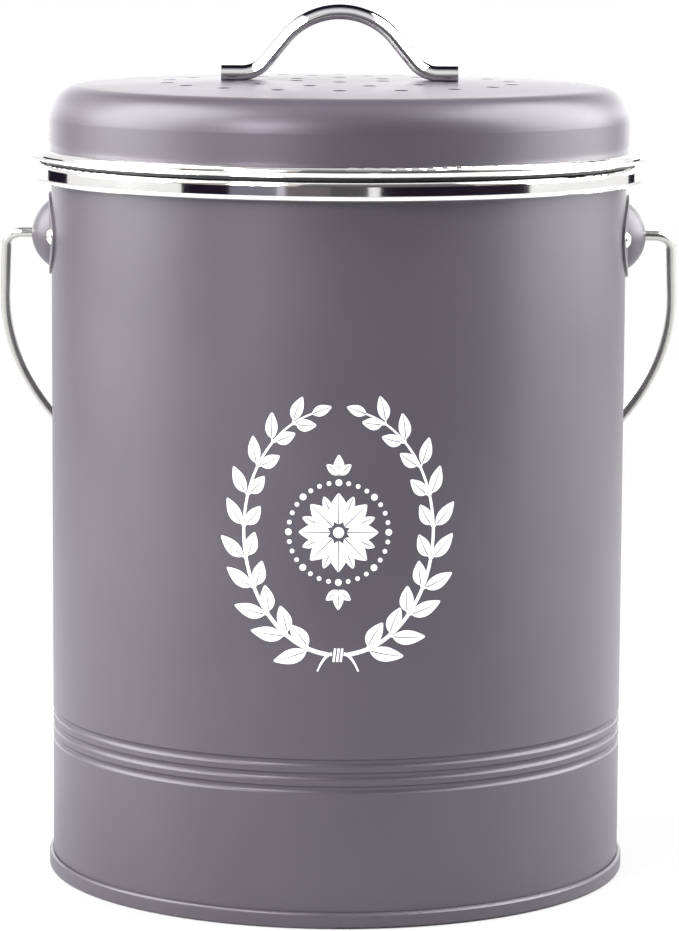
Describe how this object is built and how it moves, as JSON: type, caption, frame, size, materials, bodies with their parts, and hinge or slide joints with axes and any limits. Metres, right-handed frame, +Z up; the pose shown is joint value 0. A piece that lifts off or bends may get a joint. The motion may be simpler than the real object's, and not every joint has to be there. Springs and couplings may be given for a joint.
{
  "type": "countertop compost caddy",
  "caption": "Round steel countertop bin with a lift-off vented lid and arch handle, a charcoal filter, a lift-out plastic liner and a swinging wire bail.",
  "frame": {"origin": "centre of the foot, on the surface that the bin stands on", "axes": "+Z up along the bin's axis, -Y towards the front that the picture shows, +X to the right along the bail's pivots and the lid's handle"},
  "size_m": [0.2232, 0.1994, 0.2819],
  "materials": {
    "coated_steel": "satin powder coat with fine orange peel",
    "polished_steel": "bright polish",
    "bright_wire": "satin nickel",
    "liner_plastic": "fine matte moulding",
    "black_plastic": "fine matte moulding",
    "gasket_rubber": "matte silicone",
    "charcoal_foam": "open-cell foam with charcoal"
  },
  "bodies": {
    "bucket": {"bucket_wall": "coated_steel", "bucket_base": "coated_steel", "rim_band": "polished_steel", "left_ear": "coated_steel", "right_ear": "coated_steel", "left_ear_rivets": "polished_steel", "right_ear_rivets": "polished_steel"},
    "bail": {"bail": "bright_wire"},
    "liner": {"liner": "liner_plastic"},
    "lid": {"lid_shell": "coated_steel", "lid_rim": "polished_steel", "lid_gasket": "gasket_rubber", "lid_handle": "polished_steel", "handle_screws": "polished_steel", "handle_washers": "polished_steel", "filter_seat": "black_plastic"},
    "filter": {"filter_cage": "black_plastic", "charcoal_filter": "charcoal_foam"}
  },
  "joints": [
    {"name": "bail_swing", "type": "hinge", "parent": "bucket", "child": "bail", "pos_m": [0, 0, 0.2075], "axis": [1, 0, 0], "range_deg": [0, 278.5]},
    {"name": "liner_lift", "type": "slide", "parent": "bucket", "child": "liner", "axis": [0, 0, 1], "range_m": [0, 0.235]},
    {"name": "lid_lift", "type": "slide", "parent": "liner", "child": "lid", "axis": [0, 0, 1], "range_m": [0, 0.12]},
    {"name": "filter_twist", "type": "hinge", "parent": "lid", "child": "filter", "pos_m": [0, 0, 0.24], "axis": [0, 0, 1], "range_deg": [0, 25]}
  ]
}
